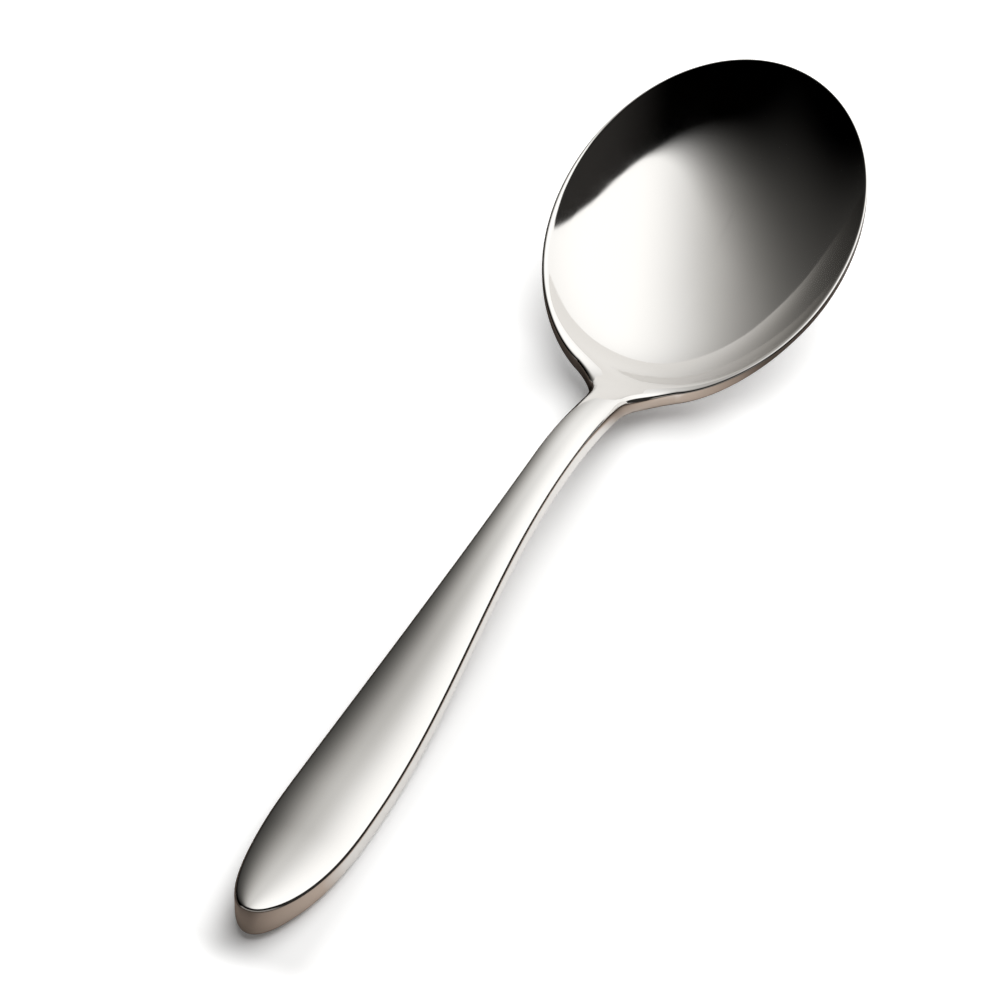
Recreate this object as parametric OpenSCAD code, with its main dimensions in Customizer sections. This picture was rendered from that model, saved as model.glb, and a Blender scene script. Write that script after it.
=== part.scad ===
// Bouillon spoon, stamped and polished from one blank of stainless steel.
// It is divided where its three named regions meet: the flat handle, the rounded neck and
// the oval bowl. X runs from the handle tip to the bowl tip, Y across, Z up. The origin is
// on the table, midway along the spoon, which lies on its bowl and on the handle's belly.

/* [Handle] */
// Length from the handle tip to the back of the bowl
handle_len = 108; // [95:1:125]
// Width of the handle at its belly
handle_w = 12.8; // [10:0.2:16]
// Distance from the tip to the belly, where the handle is widest and lies on the table
belly_at = 21; // [18:1:30]
// Height of the side wall at the belly
handle_t = 3.3; // [2.5:0.1:5]
// Rise of the domed top face above its edges at the belly
handle_crown = 1; // [0.4:0.1:1.4]
// Lift of the tip off the table
tip_lift = 2.1; // [1:0.1:4]
// Extra height of the side wall at the tip
tip_thicker = 1.2; // [0:0.1:2]
// Length of the level face under the belly
rest_len = 9; // [6:1:14]

/* [Neck] */
// Width of the neck
neck_w = 5.2; // [4:0.1:7]
// Height of the side wall of the neck
neck_t = 2.5; // [2:0.1:4]
// Rise of the neck's rounded top and underside beyond its side walls
neck_crown = 0.5; // [0.4:0.1:1.2]
// Height of the handle's edge at the crest of its arch
crest_z = 9.4; // [8:0.2:12]
// Distance from the crest to the back of the bowl
crest_back = 21; // [17:1:26]
// Radius of the fillet between neck and bowl, seen from above
neck_fillet = 9.4; // [6:0.2:11]

/* [Bowl] */
// Length of the bowl
bowl_len = 52; // [46:1:60]
// Width of the bowl
bowl_w = 42.2; // [36:0.2:48]
// Depth of the bowl below its rim
bowl_depth = 9.3; // [8:0.1:12]
// Wall thickness at the bottom of the bowl
bowl_wall = 2; // [1:0.1:2.5]
// Width of the flat along the rim
rim_w = 0.5; // [0.3:0.1:1.6]
// Height of the rim's outer edge
rim_t = 0.8; // [0.5:0.1:1.4]
// Slope of the rim, rising towards the bowl tip, in degrees
bowl_tilt = 18; // [10:0.5:20]

/* [Hidden] */

// Steel as the polished spoon shows it
steel = [0.83, 0.82, 0.80];

// How square the bowl's section is: 2 is a parabola, and more is flatter with steeper sides
fullness = 2.06;
// Share of the section's depth that lies in its steeper outer part, and how square that part is
steep_share = 0.18;
steepness = 4.46;
// How flat the domed faces are across: 2 is a parabola, and more is flatter with rounder shoulders
dome_power = 2.5;
// How soon the dome rises behind the tip, as a power of the width
tip_power = 0.6;
// Width of the flat that closes the very tip of the handle
tip_flat = 0.8;
// Lengths behind the bowl's back over which the neck's rounding runs out into the bowl, and over
// which the side wall thins out to the rim
heel_len = 9;
thinning_len = 16;
// Softness of the dip between neck and rim, of the bowl's back, and of the rim's inner edge
dip_blend = 3;
root_blend = 7.6;
rim_blend = 0.5;

// Number of points and steps that the surfaces are drawn with
across = 7;
tip_steps = 12;
arch_steps = 16;
neck_steps = 20;
around = 60;
inside_rings = 9;
outside_rings = 8;

// Places along the spoon
total_len = handle_len + bowl_len;
tip_x = -total_len / 2;
belly_x = tip_x + belly_at;
rest_start = belly_x - rest_len / 2;
rest_end = belly_x + rest_len / 2;
bowl_back = tip_x + handle_len;
crest_x = bowl_back - crest_back;

// Half axes and centre of the bowl's oval
half_len = bowl_len / 2;
half_w = bowl_w / 2;
bowl_x = bowl_back + half_len;

// Fillet between the neck's side and the round back of the bowl, tangent to both
back_r = half_w * half_w / half_len;
fillet_run = sqrt(pow(back_r + neck_fillet, 2) - pow(neck_w / 2 + neck_fillet, 2));
fillet_start = bowl_back + back_r - fillet_run;
fillet_end = bowl_back + back_r - fillet_run * back_r / (back_r + neck_fillet);

// Place where bowl and neck are divided, at the end of the fillet on the oval
seam_x = fillet_end;

// Depth of the bowl's outside below its edge, and the height of the rim at the bowl's
// middle that sets the lowest place of the tilted bowl down on the table
outside_depth = bowl_depth + bowl_wall - rim_t;
rim_slope = tan(bowl_tilt);
rim_mid = max([for (i = [0:200]) keel_drop(i / 200)]);

function mix(a, b, t) = a + (b - a) * t;
function ease(t) = (1 - cos(180 * min(max(t, 0), 1))) / 2;
function ease_between(x, from, to) = ease((x - from) / (to - from));

// The larger of two heights, rounded where they cross within the given softness
function blend_max(a, b, soft) =
    let (near = max(soft - abs(a - b), 0) / soft) max(a, b) + pow(near, 3) * soft / 6;

// How far a place has left the handle for the neck, and the neck for the bowl, from 0 to 1
function into_neck(x) = ease_between(x, rest_end, crest_x);
function into_bowl(x) = ease_between(x, fillet_start, bowl_back + heel_len);

// Half of the spoon's width, seen from above
function half_width(x) =
    x < belly_x ? max(handle_w / 2 * sqrt(max(1 - pow((belly_x - x) / belly_at, 2), 0)), tip_flat / 2)
    : x < fillet_start ? mix(handle_w, neck_w, ease_between(x, belly_x, crest_x)) / 2
    : x < fillet_end ? neck_w / 2 + neck_fillet - sqrt(pow(neck_fillet, 2) - pow(x - fillet_start, 2))
    : half_w * sqrt(max(1 - pow((x - bowl_x) / half_len, 2), 0));

// Height of the upper edge, which runs along the handle and on round the rim
function rim_z(x) = rim_mid + (x - bowl_x) * rim_slope;
function stem_z(x) =
    x < rest_start ? handle_t + tip_lift * pow((rest_start - x) / (rest_start - tip_x), 2)
    : x < rest_end ? handle_t
    : x < crest_x ? mix(handle_t, crest_z, into_neck(x))
    : crest_z - (crest_z - rim_z(bowl_back)) * pow((x - crest_x) / crest_back, 2);
function edge_z(x) = blend_max(stem_z(x), rim_z(x), dip_blend);

// Height of the side wall, and the rise of the top and underside at the middle of the width
function side_t(x) =
    mix(mix(handle_t, neck_t, into_neck(x)), rim_t, ease_between(x, fillet_start, bowl_back + thinning_len))
    + tip_thicker * pow(max(rest_start - x, 0) / (rest_start - tip_x), 2);
function tip_share(x) = x < belly_x ? pow(2 * half_width(x) / handle_w, tip_power) : 1;
function top_rise(x) =
    mix(handle_crown, neck_crown, into_neck(x)) * (1 - into_bowl(x)) * tip_share(x);
function under_rise(x) = neck_crown * into_neck(x) * (1 - into_bowl(x));
function across_share(x, y) =
    let (w = half_width(x)) w == 0 ? 0 : max(1 - pow(abs(y / w), dome_power), 0);

// Distance from the bowl's middle as a share of the way to its outline, less an inset
function reach(x, y, inset) =
    let (
        distance = norm([x - bowl_x, y]),
        share = norm([(x - bowl_x) / half_len, y / half_w])
    )
    distance == 0 ? 0 : share / (1 - inset * share / distance);

// Depth of the bowl's section at this reach, as a share of its full depth
function bowl_profile(reach) =
    1 - (1 - steep_share) * pow(reach, fullness) - steep_share * pow(reach, steepness);

// How far the bowl's outside lies below the rim's middle, this share of the way to its back
function keel_drop(share) =
    side_t(bowl_x - half_len * share) + outside_depth * bowl_profile(share) + half_len * rim_slope * share;

// Depth of the bowl's hollow below the edge, where depth and inset choose inside or outside
function hollow(x, y, depth, inset) =
    blend_max(
        depth * bowl_profile(min(reach(x, y, inset), 3)), 0, mix(root_blend, rim_blend, into_bowl(x)));

function top_z(x, y) =
    edge_z(x) + top_rise(x) * across_share(x, y) - hollow(x, y, bowl_depth, rim_w);
function under_z(x, y) =
    edge_z(x) - side_t(x) - under_rise(x) * across_share(x, y) - hollow(x, y, outside_depth, 0);

// Evenly spaced offsets across the width at one place along the spoon
function offsets(x) = [for (i = [-across:across]) half_width(x) * i / across];

// Closed section across the spoon, over the top and back along the underside
function section(x) =
    let (ys = offsets(x), last = len(ys) - 1)
    concat(
        [for (y = ys) [x, y, top_z(x, y)]],
        [for (i = [last:-1:0]) [x, ys[i], under_z(x, ys[i])]]);

// Two triangles for each cell between neighbouring loops of points, where each loop has n
function skin_faces(loops, n) = [
    for (k = [0:loops - 2], i = [0:n - 1])
        let (j = (i + 1) % n, a = k * n, b = a + n)
        each [[a + i, a + j, b + j], [a + i, b + j, b + i]]];

// Flat end of a loft in upright strips, from the first point of its loop of n
function start_faces(n) = [for (i = [0:n / 2 - 2]) [n - 1 - i, n - 2 - i, i + 1, i]];
function end_faces(from, n) = [
    for (i = [0:n / 2 - 2]) [from + i, from + i + 1, from + n - 2 - i, from + n - 1 - i]];

// Solid through the sections at the given places along the spoon
module loft(places) {
    loops = [for (x = places) section(x)];
    n = len(loops[0]);
    polyhedron(
        points = [for (loop = loops) each loop],
        faces = concat(
            start_faces(n),
            skin_faces(len(loops), n),
            end_faces((len(loops) - 1) * n, n)),
        convexity = 4);
}

// Outline of the bowl about its middle: the oval, then back across the seam to the neck
function bowl_outline() =
    let (
        seam_ys = offsets(seam_x),
        half_turn = 180 - asin(half_width(seam_x) / half_w),
        oval = [for (i = [0:around])
            let (turn = mix(-half_turn, half_turn, i / around))
            [half_len * cos(turn), half_w * sin(turn)]],
        seam = [for (i = [len(seam_ys) - 2:-1:1]) [seam_x - bowl_x, seam_ys[i]]]
    )
    concat(oval, seam);

// Loop of points at a share of the way out to the outline, on the inside or the outside
function inside_loop(outline, share) = [
    for (p = outline)
        let (x = bowl_x + p.x * share, y = p.y * share)
        [x, y, top_z(x, y)]];
function inset_outline(outline) = [for (p = outline) p * (1 - rim_w / norm(p))];
function outside_loop(outline, share) = [
    for (p = outline)
        let (x = bowl_x + p.x * share, y = p.y * share)
        [x, y, under_z(x, y)]];

// Oval bowl with a flat rim, open at the top and closed at the seam to the neck
module bowl() {
    outline = bowl_outline();
    inner = inset_outline(outline);
    n = len(outline);
    loops = concat(
        [for (k = [1:inside_rings]) inside_loop(inner, sin(90 * k / inside_rings))],
        [inside_loop(outline, 1)],
        [for (k = [outside_rings:-1:1]) outside_loop(outline, sin(90 * k / outside_rings))]);
    ring_points = [for (loop = loops) each loop];
    inside_middle = len(ring_points);
    outside_middle = inside_middle + 1;
    last = (len(loops) - 1) * n;
    color(steel)
        polyhedron(
            points = concat(
                ring_points,
                [[bowl_x, 0, top_z(bowl_x, 0)], [bowl_x, 0, under_z(bowl_x, 0)]]),
            faces = concat(
                [for (i = [0:n - 1]) [inside_middle, (i + 1) % n, i]],
                skin_faces(len(loops), n),
                [for (i = [0:n - 1]) [outside_middle, last + i, last + (i + 1) % n]]),
            convexity = 6);
}

// Rounded neck from the crest of the arch down to the seam in the bowl's back
module neck() {
    color(steel)
        loft([for (i = [0:neck_steps]) mix(crest_x, seam_x, i / neck_steps)]);
}

// Flat domed handle from its lifted tip, over the belly that rests on the table, to the crest
module handle() {
    color(steel)
        loft(concat(
            [for (i = [0:tip_steps]) mix(rest_start, tip_x, cos(90 * i / tip_steps))],
            [belly_x],
            [for (i = [0:arch_steps]) mix(rest_end, crest_x, i / arch_steps)]));
}

bowl();
neck();
handle();
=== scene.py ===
# A bouillon spoon, lying on a white table inside a small light tent.
from functools import lru_cache
from math import acos, asin, atan, cos, hypot, pi, radians, sin, sqrt, tan

import bmesh
import bpy
from mathutils import Matrix, Vector


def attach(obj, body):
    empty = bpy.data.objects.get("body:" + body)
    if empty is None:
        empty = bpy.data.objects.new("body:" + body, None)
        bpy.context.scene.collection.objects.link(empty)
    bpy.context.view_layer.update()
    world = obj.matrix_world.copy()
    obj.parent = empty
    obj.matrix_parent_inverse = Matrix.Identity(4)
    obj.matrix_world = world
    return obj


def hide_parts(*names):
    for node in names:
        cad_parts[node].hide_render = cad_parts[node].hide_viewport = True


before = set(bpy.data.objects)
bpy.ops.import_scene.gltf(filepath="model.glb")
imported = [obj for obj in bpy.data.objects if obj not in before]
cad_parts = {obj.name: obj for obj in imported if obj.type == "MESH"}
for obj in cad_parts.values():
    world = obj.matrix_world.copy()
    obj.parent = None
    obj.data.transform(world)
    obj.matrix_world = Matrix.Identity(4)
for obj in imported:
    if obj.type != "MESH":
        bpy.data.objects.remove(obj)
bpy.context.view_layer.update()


# ------------------------------------------------------------------ spoon
# The whole spoon is one blank of stainless steel, cut out, rolled thin towards the bowl,
# pressed to shape between two dies and mirror polished. Handle, neck and bowl run into each
# other without a seam, so one skin stands for the three solids.

# Sizes in millimetres, the same as the solids have
handle_w = 12.8
belly_at = 21
rest_len = 9
handle_t = 3.3
handle_crown = 1
tip_lift = 2.1
tip_thicker = 1.2
neck_w = 5.2
neck_t = 2.5
neck_crown = 0.5
crest_z = 9.4
crest_back = 21
neck_fillet = 9.4
half_len = 26
half_w = 21.1
bowl_depth = 9.3
bowl_wall = 2
rim_w = 0.5
rim_t = 0.8
rim_slope = tan(radians(18))
fullness = 2.06
steep_share = 0.18
steepness = 4.46
dome_power = 2.5
tip_power = 0.6
heel_len = 9
root_len = 16
dip_blend = 3
root_blend = 7.6
rim_blend = 0.5
outside_depth = bowl_depth + bowl_wall - rim_t

# Radius of the worn edges between the top and the side wall, and under the side wall
top_edge_r = 0.65
neck_edge_r = 1.2
under_edge_r = 1.1
rim_edge_r = 0.33
# Where the spoon is narrow, the stem's edges take no more than these shares of its half width
top_edge_share = 0.2
under_edge_share = 0.25
# At the lip the rim's flat is polished away to almost an edge
lip_flat = 0.05
lip_edge_r = 0.12
lip_blend = 0.15

# Places along the spoon, from the middle of its length
tip_x = -80
belly_x = tip_x + belly_at
rest_start = belly_x - rest_len / 2
rest_end = belly_x + rest_len / 2
bowl_back = 28
crest_x = bowl_back - crest_back
bowl_x = bowl_back + half_len
lip_start = bowl_x - 8
lip_end = bowl_x + 20
back_r = half_w ** 2 / half_len
fillet_run = sqrt((back_r + neck_fillet) ** 2 - (neck_w / 2 + neck_fillet) ** 2)
fillet_start = bowl_back + back_r - fillet_run
fillet_end = bowl_back + back_r - fillet_run * back_r / (back_r + neck_fillet)
# The top edge widens to the neck's radius over the first of these stretches, and narrows to the
# rim's over the second
neck_edge_start, neck_edge_end = 8, 21
rim_edge_start, rim_edge_end = 22, 32


def mix(a, b, share):
    """From a to b by this share."""
    return a + (b - a) * share


def ease(x, start, end):
    """0 before the start, 1 after the end, and half a cosine wave between them."""
    return (1 - cos(pi * min(max((x - start) / (end - start), 0), 1))) / 2


def blend_max(a, b, soft):
    """The larger of two values, rounded off where they cross."""
    near = max(soft - abs(a - b), 0) / soft
    return max(a, b) + near ** 3 * soft / 6


def bowl_profile(reach):
    """The bowl's depth as a share of its deepest, this share of the way out to its rim."""
    return 1 - (1 - steep_share) * reach ** fullness - steep_share * reach ** steepness


def into_neck(x):
    return ease(x, rest_end, crest_x)


def into_bowl(x):
    return ease(x, fillet_start, bowl_back + heel_len)


def into_lip(x):
    return ease(x, lip_start, lip_end)


def half_width(x):
    """From the middle line to the outline."""
    if x < belly_x:
        return handle_w / 2 * sqrt(max(1 - ((belly_x - x) / belly_at) ** 2, 0))
    if x < fillet_start:
        return mix(handle_w, neck_w, ease(x, belly_x, crest_x)) / 2
    if x < fillet_end:
        return neck_w / 2 + neck_fillet - sqrt(neck_fillet ** 2 - (x - fillet_start) ** 2)
    return half_w * sqrt(max(1 - ((x - bowl_x) / half_len) ** 2, 0))


def rim_z(x):
    """Height of the rim's plane, which rises towards the lip."""
    return rim_mid + (x - bowl_x) * rim_slope


def stem_z(x):
    """Height of the handle's and the neck's upper edge."""
    if x < rest_start:
        return handle_t + tip_lift * ((rest_start - x) / (rest_start - tip_x)) ** 2
    if x < crest_x:
        return mix(handle_t, crest_z, into_neck(x))
    return crest_z - (crest_z - rim_z(bowl_back)) * ((x - crest_x) / crest_back) ** 2


def edge_z(x):
    """Height of the upper edge all along the spoon."""
    return blend_max(stem_z(x), rim_z(x), dip_blend)


def side_t(x):
    """Height of the side wall below that edge."""
    thicker = tip_thicker * (max(rest_start - x, 0) / (rest_start - tip_x)) ** 2
    thinned = ease(x, fillet_start, bowl_back + root_len)
    return mix(mix(handle_t, neck_t, into_neck(x)), rim_t, thinned) + thicker


def keel_drop(share):
    """How far the bowl's outside lies below its rim's middle, this far back on the middle line."""
    below_edge = side_t(bowl_x - half_len * share) + outside_depth * bowl_profile(share)
    return below_edge + half_len * rim_slope * share


# The rim's height at the bowl's middle, which sets the lowest place of the bowl on the table
keel_steps = 200
rim_mid = max(keel_drop(i / keel_steps) for i in range(keel_steps))

# A width or distance below this counts as none
least_span = 1e-6
# The bowl's profile is followed out to this many times the way to its rim
profile_end = 3


def dome_share(x, y):
    """How much of the dome's rise is left this far from the middle line."""
    w = half_width(x)
    return max(1 - abs(y / w) ** dome_power, 0) if w > least_span else 0


def hollow(x, y, depth, inset):
    """Depth of the dish here, whose rim is set in by a flat of this width."""
    distance = hypot(x - bowl_x, y)
    share = hypot((x - bowl_x) / half_len, y / half_w)
    reach = share / (1 - inset * share / distance) if distance > least_span else 0
    soft = mix(mix(root_blend, rim_blend, into_bowl(x)), lip_blend, into_lip(x))
    return blend_max(depth * bowl_profile(min(reach, profile_end)), 0, soft)


def top_z(x, y):
    rise = mix(handle_crown, neck_crown, into_neck(x)) * (1 - into_bowl(x))
    if x < belly_x:
        rise *= (2 * half_width(x) / handle_w) ** tip_power
    rim_flat = mix(rim_w, lip_flat, into_lip(x))
    return edge_z(x) + rise * dome_share(x, y) - hollow(x, y, bowl_depth, rim_flat)


def under_z(x, y):
    rise = neck_crown * into_neck(x) * (1 - into_bowl(x))
    return edge_z(x) - side_t(x) - rise * dome_share(x, y) - hollow(x, y, outside_depth, 0)


# Rows of the skin from the handle's tip to the bowl's lip, and columns from the middle of the
# top over the side wall to the middle of the underside
tip_rows, stem_rows, fillet_rows, bowl_rows = 56, 84, 36, 124
rows = tip_rows + stem_rows + fillet_rows + bowl_rows
top_columns, edge_columns, wall_columns, under_columns = 36, 6, 3, 26
columns = top_columns + 2 * edge_columns + wall_columns + under_columns
seam_turn = acos((fillet_end - bowl_x) / half_len)
fillet_turn = asin((fillet_end - fillet_start) / neck_fillet)
bowl_focus = half_len - half_w ** 2 / half_len
tip_focus = belly_at - (handle_w / 2) ** 2 / belly_at

# Over the fillet, the rows turn from straight across to square with the bowl's outline
fillet_fan = 1.6

# Distance of the bowl's columns from the tangent of the rim's edge, closer at the rim's flat. The
# columns are even up to the first of the two half widths, and spaced like this from the second
rim_gaps = (0, 0.2, 0.4, 0.55, 0.66, 0.74, 0.81, 0.88,
            0.95, 1.03, 1.13, 1.26, 1.45, 1.7, 2.1, 2.6)
even_up_to, crowded_from = 3.5, 13

# The tangent of an edge is found in rounds, from the slope between two points beside it
tangent_rounds = 6
tangent_in, tangent_out = 0.01, 0.005


def row_line(row):
    """The point on the outline at this row, and the point on the middle line that it faces."""
    if row < tip_rows:
        turn = pi / 2 * row / tip_rows
        end = Vector((belly_x - belly_at * cos(turn), handle_w / 2 * sin(turn)))
        return end, belly_x - tip_focus * cos(turn)
    row -= tip_rows
    if row < stem_rows:
        x = mix(belly_x, fillet_start, row / stem_rows)
        return Vector((x, half_width(x))), x
    row -= stem_rows
    if row < fillet_rows:
        share = row / fillet_rows
        x = fillet_start + neck_fillet * sin(fillet_turn * share)
        run = bowl_x + bowl_focus * cos(seam_turn) - fillet_end
        return Vector((x, half_width(x))), x + run * share ** fillet_fan
    turn = seam_turn * (1 - (row - fillet_rows) / bowl_rows)
    end = Vector((bowl_x + half_len * cos(turn), half_w * sin(turn)))
    return end, bowl_x + bowl_focus * cos(turn)


@lru_cache(maxsize=None)
def section(row):
    """The line across one row: its start, direction and length, and the tangents of its edges."""
    end, middle_x = row_line(row)
    start = Vector((middle_x, 0))
    length = (end - start).length
    way = (end - start) / length

    def tangent(height, radius):
        """Where an edge of this radius meets the surface, and how far the surface leans there."""
        lean = 0
        for _ in range(tangent_rounds):
            place = length - radius * (1 - sin(lean))
            a, b = start + way * (place - tangent_in), start + way * (place + tangent_out)
            lean = atan((height(b.x, b.y) - height(a.x, a.y)) / -(tangent_in + tangent_out))
        return place, lean

    rim_r = mix(rim_edge_r, lip_edge_r, into_lip(end.x))
    handle_r = min(top_edge_r, top_edge_share * length)
    stem_r = mix(handle_r, neck_edge_r, ease(end.x, neck_edge_start, neck_edge_end))
    top_r = mix(stem_r, rim_r, ease(end.x, rim_edge_start, rim_edge_end))
    under_r = mix(min(under_edge_r, under_edge_share * length), rim_r, into_bowl(end.x))
    top = (top_r, *tangent(top_z, top_r))
    under = (under_r, *tangent(lambda x, y: -under_z(x, y), under_r))
    return start, way, length, top, under


def skin_point(row, column):
    """A point of the skin's left half, in millimetres."""
    start, way, length, top, under = section(row)
    top_r, top_place, top_lean = top
    under_r, under_place, under_lean = under
    at = start + way * top_place
    top_arc_z = top_z(at.x, at.y) - top_r * cos(top_lean)
    at = start + way * under_place
    under_arc_z = under_z(at.x, at.y) + under_r * cos(under_lean)
    if column <= top_columns:
        even = top_place * column / top_columns
        left = top_columns - column
        last = len(rim_gaps) - 1
        if left <= last:
            crowded = top_place - rim_gaps[left]
        else:
            crowded = (top_place - rim_gaps[last]) * column / (top_columns - last)
        place = mix(even, crowded, ease(length, even_up_to, crowded_from))
        at = start + way * place
        return at.x, at.y, top_z(at.x, at.y)
    column -= top_columns
    if column <= edge_columns:
        lean = mix(top_lean, pi / 2, column / edge_columns)
        at = start + way * (length - top_r * (1 - sin(lean)))
        return at.x, at.y, top_arc_z + top_r * cos(lean)
    column -= edge_columns
    if column < wall_columns:
        at = start + way * length
        return at.x, at.y, mix(top_arc_z, under_arc_z, column / wall_columns)
    column -= wall_columns
    if column <= edge_columns:
        lean = mix(pi / 2, under_lean, column / edge_columns)
        at = start + way * (length - under_r * (1 - sin(lean)))
        return at.x, at.y, under_arc_z - under_r * cos(lean)
    column -= edge_columns
    at = start + way * (under_place * cos(pi / 2 * column / under_columns))
    return at.x, at.y, under_z(at.x, at.y)


mm_per_m = 1000
merge_dist = 1e-7
spoon_skin = bmesh.new()
bmesh.ops.create_grid(spoon_skin, x_segments=rows, y_segments=columns, size=0.5)
for vert in spoon_skin.verts:
    row = round((vert.co.x + 0.5) * rows)
    column = round((vert.co.y + 0.5) * columns)
    vert.co = Vector(skin_point(row, column)) / mm_per_m
    if row in (0, rows) or column in (0, columns):
        vert.co.y = 0
half_skin = spoon_skin.verts[:] + spoon_skin.edges[:] + spoon_skin.faces[:]
bmesh.ops.mirror(spoon_skin, geom=half_skin, matrix=Matrix(), merge_dist=merge_dist, axis='Y')
bmesh.ops.remove_doubles(spoon_skin, verts=spoon_skin.verts[:], dist=merge_dist)
bmesh.ops.recalc_face_normals(spoon_skin, faces=spoon_skin.faces[:])
for face in spoon_skin.faces:
    face.smooth = True
spoon_mesh = bpy.data.meshes.new("spoon")
spoon_skin.to_mesh(spoon_mesh)
spoon_skin.free()
spoon = bpy.data.objects.new("spoon", spoon_mesh)
bpy.context.scene.collection.objects.link(spoon)

# Polished stainless steel: a warm mirror with faint polishing lines along the spoon, a little
# haze that comes and goes, and the slight waviness that pressing leaves in a thin blank
steel = bpy.data.materials.new("polished_steel")
steel.use_nodes = True
nodes, links = steel.node_tree.nodes, steel.node_tree.links
metal = nodes["Principled BSDF"]
metal.inputs["Metallic"].default_value = 1
metal.inputs["Base Color"].default_value = (0.725, 0.714, 0.7, 1)
place = nodes.new("ShaderNodeTexCoord")

haze = nodes.new("ShaderNodeTexNoise")
haze.inputs["Scale"].default_value = 260
haze.inputs["Detail"].default_value = 4
links.new(place.outputs["Object"], haze.inputs["Vector"])
haze_level = nodes.new("ShaderNodeMapRange")
haze_level.inputs["From Min"].default_value = 0.3
haze_level.inputs["From Max"].default_value = 0.75
haze_level.inputs["To Min"].default_value = 0.045
haze_level.inputs["To Max"].default_value = 0.08
links.new(haze.outputs["Fac"], haze_level.inputs["Value"])
links.new(haze_level.outputs["Result"], metal.inputs["Roughness"])

stretch = nodes.new("ShaderNodeMapping")
stretch.inputs["Scale"].default_value = (60, 2600, 2600)
links.new(place.outputs["Object"], stretch.inputs["Vector"])
hairlines = nodes.new("ShaderNodeTexNoise")
hairlines.inputs["Scale"].default_value = 1
hairlines.inputs["Detail"].default_value = 3
links.new(stretch.outputs["Vector"], hairlines.inputs["Vector"])
lines_bump = nodes.new("ShaderNodeBump")
lines_bump.inputs["Strength"].default_value = 1
lines_bump.inputs["Distance"].default_value = 6e-7
links.new(hairlines.outputs["Fac"], lines_bump.inputs["Height"])

waves = nodes.new("ShaderNodeTexNoise")
waves.inputs["Scale"].default_value = 110
waves.inputs["Detail"].default_value = 1
links.new(place.outputs["Object"], waves.inputs["Vector"])
waves_bump = nodes.new("ShaderNodeBump")
waves_bump.inputs["Strength"].default_value = 1
waves_bump.inputs["Distance"].default_value = 2e-5
links.new(waves.outputs["Fac"], waves_bump.inputs["Height"])
links.new(lines_bump.outputs["Normal"], waves_bump.inputs["Normal"])
links.new(waves_bump.outputs["Normal"], metal.inputs["Normal"])
spoon_mesh.materials.append(steel)

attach(spoon, "root")
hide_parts("bowl", "neck", "handle")


# ------------------------------------------------------------------ camera
# The spoon is seen from the handle's end and from its right, from 44 degrees up, through a
# long lens that leaves almost no perspective.
camera_turn = radians(26.48)
camera_rise = radians(44.07)
look_at = Vector((-0.00848, 0, 0.01511))
camera_far = 1.0
look_way = Vector((cos(camera_turn) * cos(camera_rise), sin(camera_turn) * cos(camera_rise),
                   -sin(camera_rise)))
camera_data = bpy.data.cameras.new("camera")
camera_data.lens = 275.5
camera_data.sensor_width = 36
camera = bpy.data.objects.new("camera", camera_data)
camera.location = look_at - look_way * camera_far
camera.rotation_euler = look_way.to_track_quat('-Z', 'Y').to_euler()
bpy.context.scene.collection.objects.link(camera)
bpy.context.scene.camera = camera


# ------------------------------------------------------------------ tent
# A half dome of white cloth over the table, lit from its right-hand side and dark towards the
# camera, as photographers of cutlery use. Its cloth fades from white to dark on the left.
tent_r = 0.255
back = Vector((cos(camera_turn), sin(camera_turn), 0))
right = Vector((sin(camera_turn), -cos(camera_turn), 0))


def way(turn, rise):
    """Direction by its turn from straight back towards the right, and its rise, in degrees."""
    level = back * cos(radians(turn)) + right * sin(radians(turn))
    return level * cos(radians(rise)) + Vector((0, 0, sin(radians(rise))))


tent_skin = bmesh.new()
bmesh.ops.create_uvsphere(tent_skin, u_segments=64, v_segments=32, radius=tent_r)
whole_ball = tent_skin.verts[:] + tent_skin.edges[:] + tent_skin.faces[:]
bmesh.ops.bisect_plane(tent_skin, geom=whole_ball, dist=1e-6, plane_co=(0, 0, 0),
                       plane_no=(0, 0, -1), clear_outer=True)
tent_mesh = bpy.data.meshes.new("tent")
tent_skin.to_mesh(tent_mesh)
tent_skin.free()
tent = bpy.data.objects.new("tent", tent_mesh)
tent.visible_camera = False
tent.visible_shadow = False
bpy.context.scene.collection.objects.link(tent)

cloth = bpy.data.materials.new("tent_cloth")
cloth.use_nodes = True
nodes, links = cloth.node_tree.nodes, cloth.node_tree.links
nodes.clear()
place = nodes.new("ShaderNodeTexCoord")


def along(direction):
    """How far a place on the cloth lies in this direction, from -1 to 1."""
    node = nodes.new("ShaderNodeVectorMath")
    node.operation = 'DOT_PRODUCT'
    node.inputs[1].default_value = direction / tent_r
    links.new(place.outputs["Object"], node.inputs[0])
    return node.outputs["Value"]


def maths(operation, *values):
    """A math node of these values, which are numbers or the outputs of other nodes."""
    node = nodes.new("ShaderNodeMath")
    node.operation = operation
    for socket, value in zip(node.inputs, values):
        if isinstance(value, (int, float)):
            socket.default_value = value
        else:
            links.new(value, socket)
    return node.outputs["Value"]


def smooth_step(value, start, end):
    """A soft step of this output, from 0 at the start to 1 at the end."""
    node = nodes.new("ShaderNodeMapRange")
    node.interpolation_type = 'SMOOTHSTEP'
    node.inputs["From Min"].default_value = start
    node.inputs["From Max"].default_value = end
    links.new(value, node.inputs["Value"])
    return node.outputs["Result"]


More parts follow.
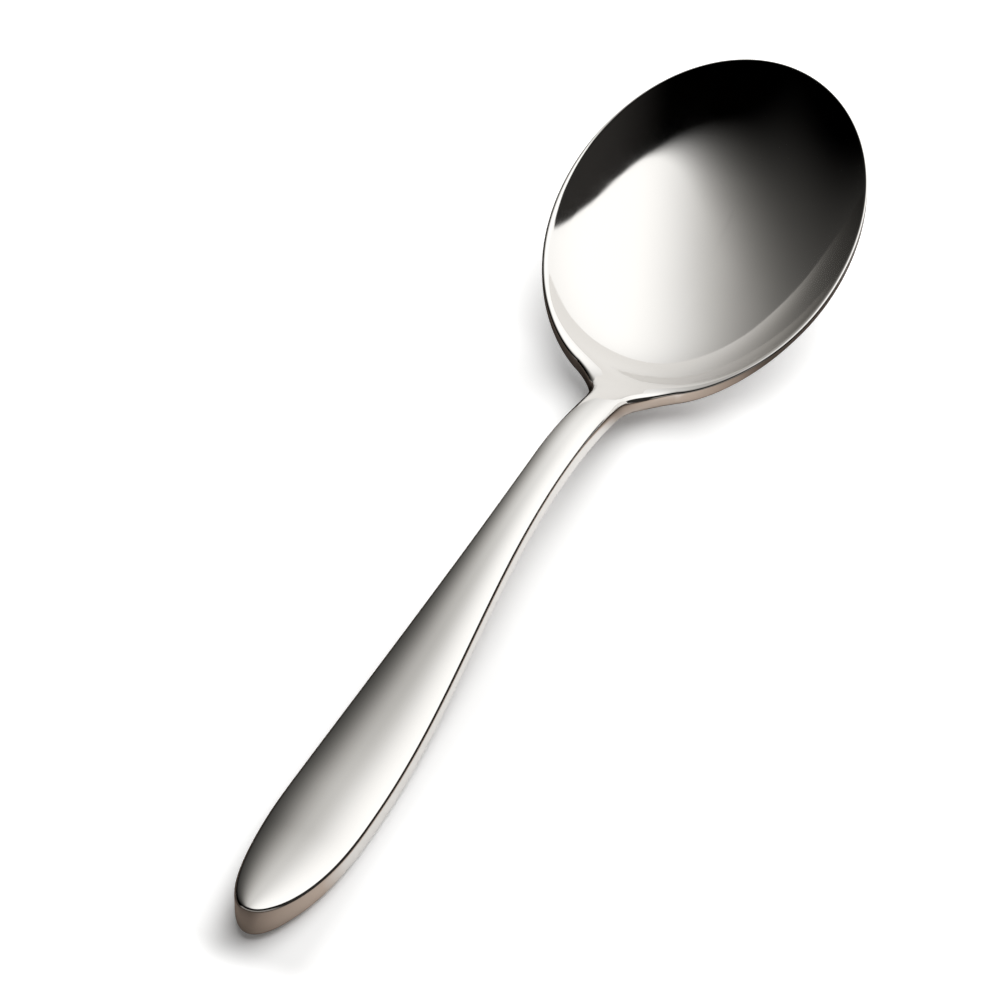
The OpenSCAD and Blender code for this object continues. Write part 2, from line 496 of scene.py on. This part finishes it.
# Brightest at the right, fading towards the left and a little towards the table
lit_way = way(74.1, 16.8)
full_light, full_power, pale_light = 1.08, 1.47, 0.345
low_loss = 0.18
up = along(Vector((0, 0, 1)))
lit = along(lit_way)
full = maths('POWER', smooth_step(lit, -0.233, 0.719), full_power)
pale = maths('MULTIPLY', smooth_step(lit, -0.51, 0.488), pale_light)
fade = maths('MULTIPLY_ADD', full, full_light, pale)
fade = maths('MULTIPLY', fade, maths('MULTIPLY_ADD', smooth_step(up, 0.643, 0), -low_loss, 1))
# The hem of the lit cloth is a bowed line, which two small shifts move in the middle and on the
# right. It is crisp on the right, and soft towards the left
hem_way = way(31.2, 28.7)
hem_place, hem_middle_shift, hem_right_shift = 0.379, -0.014, -0.012
bow_middle, bow_2, bow_3, bow_4 = 0.095, -0.505, -0.816, 0.467
crisp, soft_more = 0.024, 0.79
aside = along(way(90, 0))
off_aside = maths('SUBTRACT', aside, bow_middle)
bow = maths('MULTIPLY_ADD', off_aside, bow_4, bow_3)
bow = maths('MULTIPLY_ADD', bow, off_aside, bow_2)
bow = maths('MULTIPLY', bow, maths('POWER', off_aside, 2))
hem_at = maths('MULTIPLY_ADD', smooth_step(aside, 0.45, 0), hem_middle_shift, hem_place)
hem_at = maths('MULTIPLY_ADD', smooth_step(aside, 0.72, 0.85), hem_right_shift, hem_at)
inside = maths('SUBTRACT', maths('ADD', along(hem_way), bow), hem_at)
softness = maths('MULTIPLY_ADD', smooth_step(aside, 0.552, -0.623), soft_more, crisp)
hem = smooth_step(maths('DIVIDE', inside, softness), -0.5, 0.5)
tint = nodes.new("ShaderNodeValToRGB")
tint.color_ramp.elements[0].color = (1, 0.97, 0.91, 1)
tint.color_ramp.elements[1].color = (1, 0.995, 0.98, 1)
links.new(fade, tint.inputs["Fac"])
glow = nodes.new("ShaderNodeEmission")
links.new(tint.outputs["Color"], glow.inputs["Color"])
links.new(maths('MULTIPLY', fade, hem), glow.inputs["Strength"])
# Beyond the hem: a trace of light low on the right, and a dimmer cloth low in front
right_trace, front_light = 0.032, 0.3
low_right = smooth_step(along(way(75, 5)), 0.3, 0.9)
low_front = maths('MULTIPLY', smooth_step(along(way(-163, 0)), 0.25, 0.5),
                  smooth_step(up, 0.57, 0.36))
dusk = nodes.new("ShaderNodeEmission")
dusk.inputs["Color"].default_value = (1, 0.94, 0.88, 1)
dim = maths('MULTIPLY_ADD', low_front, front_light, maths('MULTIPLY', low_right, right_trace))
links.new(dim, dusk.inputs["Strength"])
both = nodes.new("ShaderNodeAddShader")
links.new(glow.outputs["Emission"], both.inputs[0])
links.new(dusk.outputs["Emission"], both.inputs[1])
output = nodes.new("ShaderNodeOutputMaterial")
links.new(both.outputs["Shader"], output.inputs["Surface"])
tent_mesh.materials.append(cloth)


# ------------------------------------------------------------------ table
# A round white table top under the tent, which runs out into a white surround. It keeps the
# spoon's soft shadow.
table_r = 0.25
table_top = bmesh.new()
bmesh.ops.create_circle(table_top, cap_ends=True, segments=96, radius=table_r)
table_mesh = bpy.data.meshes.new("table")
table_top.to_mesh(table_mesh)
table_top.free()
table = bpy.data.objects.new("table", table_mesh)
bpy.context.scene.collection.objects.link(table)

white = bpy.data.materials.new("white_table")
white.use_nodes = True
nodes, links = white.node_tree.nodes, white.node_tree.links
nodes.clear()
seen = nodes.new("ShaderNodeLightPath")
matt = nodes.new("ShaderNodeBsdfDiffuse")
matt.inputs["Color"].default_value = (0.86, 0.86, 0.86, 1)
bright = nodes.new("ShaderNodeEmission")
bright.inputs["Color"].default_value = (1, 1, 1, 1)
place = nodes.new("ShaderNodeTexCoord")
apart = nodes.new("ShaderNodeSeparateXYZ")
links.new(place.outputs["Object"], apart.inputs["Vector"])
radius = nodes.new("ShaderNodeVectorMath")
radius.operation = 'LENGTH'
links.new(place.outputs["Object"], radius.inputs[0])
# Painted shade: the table's glow is least along the handle, to deepen the shadow there, more at
# its sides and under the bowl, to pale the bowl's shadow, and most towards the table's edge. The
# places are in metres along and across the spoon
handle_glow, neck_more, bowl_more = 0.09, 0.07, 0.26
left_more, right_more, edge_more = 0.2, 0.3, 0.5
on_x, on_y = apart.outputs["X"], apart.outputs["Y"]
painted_shade_glow = maths('MULTIPLY_ADD', smooth_step(on_x, -0.03, 0), neck_more, handle_glow)
painted_shade_glow = maths('MULTIPLY_ADD', smooth_step(on_x, 0.026, 0.036), bowl_more, painted_shade_glow)
sides = maths('MULTIPLY_ADD', smooth_step(on_y, 0.002, 0.008), left_more,
              maths('MULTIPLY', smooth_step(on_y, -0.007, -0.013), right_more))
painted_shade_glow = maths('MULTIPLY_ADD', smooth_step(on_x, 0.026, 0.016), sides, painted_shade_glow)
painted_shade_glow = maths('MULTIPLY_ADD', smooth_step(radius.outputs["Value"], 0.081, 0.089), edge_more, painted_shade_glow)
links.new(painted_shade_glow, bright.inputs["Strength"])
clean = nodes.new("ShaderNodeAddShader")
links.new(matt.outputs["BSDF"], clean.inputs[0])
links.new(bright.outputs["Emission"], clean.inputs[1])

# Painted shade, seen only in the steel's reflections: the table is white beside the handle and
# beyond the bowl, and painted darker and browner elsewhere, for the spoon's shadow and the light
# falling off away from the lit side
lengthways = maths('MULTIPLY', smooth_step(on_x, -0.09, -0.058), smooth_step(on_x, 0.042, 0.02))
sideways = maths('MULTIPLY', smooth_step(on_y, -0.036, -0.003), smooth_step(on_y, 0.009, 0.001))
beyond = smooth_step(on_x, 0.085, 0.105)
reflected_shade_ramp = nodes.new("ShaderNodeValToRGB")
reflected_shade_ramp.color_ramp.elements[0].color = (0.08, 0.064, 0.054, 1)
reflected_shade_ramp.color_ramp.elements[1].color = (0.93, 0.92, 0.91, 1)
shade_tones = {0.16: (0.3, 0.24, 0.2, 1), 0.35: (0.43, 0.35, 0.295, 1),
         0.72: (0.6, 0.5, 0.43, 1), 0.9: (0.9, 0.88, 0.86, 1)}
for at, shade in shade_tones.items():
    reflected_shade_ramp.color_ramp.elements.new(at).color = shade
links.new(maths('MAXIMUM', maths('MULTIPLY', lengthways, sideways), beyond), reflected_shade_ramp.inputs["Fac"])
painted_shade_paper = nodes.new("ShaderNodeBsdfDiffuse")
links.new(reflected_shade_ramp.outputs["Color"], painted_shade_paper.inputs["Color"])
either = nodes.new("ShaderNodeMixShader")
links.new(seen.outputs["Is Camera Ray"], either.inputs["Fac"])
links.new(painted_shade_paper.outputs["BSDF"], either.inputs[1])
links.new(clean.outputs["Shader"], either.inputs[2])
output = nodes.new("ShaderNodeOutputMaterial")
links.new(either.outputs["Shader"], output.inputs["Surface"])
table_mesh.materials.append(white)

# A broad lamp above the tent, a little to the right, for the table
lamp_data = bpy.data.lights.new("table_lamp", 'AREA')
lamp_data.shape = 'DISK'
lamp_data.size = 1.4
lamp_data.energy = 14
lamp = bpy.data.objects.new("table_lamp", lamp_data)
lamp.location = way(60, 67)
lamp.rotation_euler = (-lamp.location).to_track_quat('-Z', 'Y').to_euler()
lamp.visible_glossy = False
lamp.visible_camera = False
bpy.context.scene.collection.objects.link(lamp)

# The surround: white where the camera, a mirror or a glass looks at it, and no light of its own
world = bpy.data.worlds.new("surround")
bpy.context.scene.world = world
world.use_nodes = True
nodes, links = world.node_tree.nodes, world.node_tree.links
seen = nodes.new("ShaderNodeLightPath")
mirrored = maths('MAXIMUM', seen.outputs["Is Glossy Ray"], seen.outputs["Is Transmission Ray"])
shown = maths('MAXIMUM', seen.outputs["Is Camera Ray"], mirrored)
links.new(shown, nodes["Background"].inputs["Strength"])
nodes["Background"].inputs["Color"].default_value = (1, 1, 1, 1)

bpy.context.scene.view_settings.view_transform = 'Standard'
